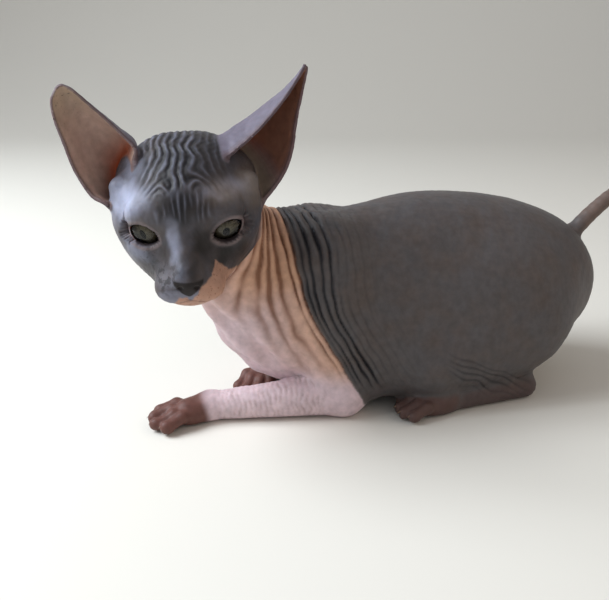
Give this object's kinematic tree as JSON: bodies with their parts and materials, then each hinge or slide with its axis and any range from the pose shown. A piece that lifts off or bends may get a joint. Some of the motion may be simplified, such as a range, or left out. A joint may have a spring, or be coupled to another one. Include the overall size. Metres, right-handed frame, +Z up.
{
  "type": "sphynx cat",
  "caption": "Hairless kitten lying crouched with raised head turned to its left, large upright ears, one foreleg stretched forward and a thin tail curled down to the floor",
  "frame": {"origin": "on the floor plane, under the centre of the whole part's bounding box", "axes": "+Z is up; the body lies along Y with the chest and forepaws towards -Y and the rump and tail towards +Y; +X is the animal's left, the side the head is turned to"},
  "size_m": [0.1102, 0.3254, 0.1646],
  "materials": {
    "skin_grey": "bare slate-grey skin, finely wrinkled, soft sheen",
    "skin_pink": "bare pale pink skin in loose folds, soft sheen",
    "skin_ear": "thin bare ear skin, mauve-grey outside, pinkish tan inside",
    "eye": "wet olive-hazel eye with a dark round pupil"
  },
  "bodies": {
    "root": {"head": "skin_grey", "ear_left": "skin_ear", "ear_right": "skin_ear", "eye_left": "eye", "eye_right": "eye", "neck": "skin_pink", "torso": "skin_grey", "upper_arm_left": "skin_grey", "upper_arm_right": "skin_grey", "forearm_left": "skin_pink", "forearm_right": "skin_pink", "forepaw_left": "skin_pink", "forepaw_right": "skin_pink", "thigh_left": "skin_grey", "thigh_right": "skin_grey", "hind_leg_left": "skin_grey", "hind_leg_right": "skin_grey", "hind_paw_left": "skin_grey", "hind_paw_right": "skin_grey", "tail_base": "skin_grey", "tail_middle": "skin_grey", "tail_tip": "skin_grey"}
  },
  "joints": []
}
